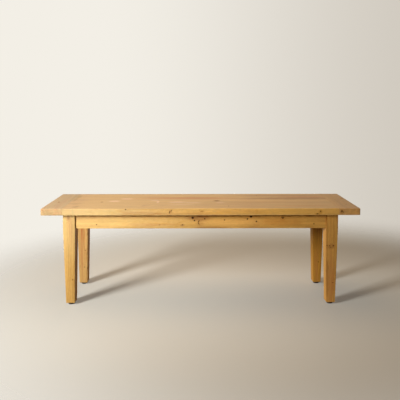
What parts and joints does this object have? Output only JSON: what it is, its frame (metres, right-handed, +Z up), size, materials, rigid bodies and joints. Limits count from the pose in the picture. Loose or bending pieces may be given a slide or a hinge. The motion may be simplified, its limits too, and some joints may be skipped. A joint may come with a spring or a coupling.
{
  "type": "dining bench",
  "caption": "Solid pine dining bench: plank seat with end boards, mortised apron frame with corner blocks, tapered legs on round glides.",
  "frame": {"origin": "on the floor, under the middle of the seat", "axes": "+Z up, +X along the seat, the front faces -Y"},
  "size_m": [1.5, 0.35, 0.473],
  "materials": {
    "seat_pine": "honey waxed pine, satin, slightly paler and greyer on top",
    "frame_pine": "honey waxed pine, satin",
    "bare_pine": "planed pine, unfinished",
    "beech": "beech, unfinished",
    "zinc_steel": "zinc plated steel",
    "glide_plastic": "dark brown moulded plastic"
  },
  "bodies": {
    "root": {"centre_rail": "bare_pine", "centre_rail_screws": "zinc_steel", "corner_block_front_left": "bare_pine", "corner_block_front_right": "bare_pine", "corner_block_rear_left": "bare_pine", "corner_block_rear_right": "bare_pine", "corner_block_screws": "zinc_steel", "end_board_left": "seat_pine", "end_board_pegs": "beech", "end_board_right": "seat_pine", "glide_front_left": "glide_plastic", "glide_front_right": "glide_plastic", "glide_nails": "zinc_steel", "glide_rear_left": "glide_plastic", "glide_rear_right": "glide_plastic", "leg_front_left": "frame_pine", "leg_front_right": "frame_pine", "leg_rear_left": "frame_pine", "leg_rear_right": "frame_pine", "rail_front": "frame_pine", "rail_left": "frame_pine", "rail_rear": "frame_pine", "rail_right": "frame_pine", "seat_biscuits": "beech", "seat_board_front": "seat_pine", "seat_board_middle": "seat_pine", "seat_board_rear": "seat_pine", "seat_button_screws": "zinc_steel", "seat_buttons": "beech"}
  },
  "joints": []
}
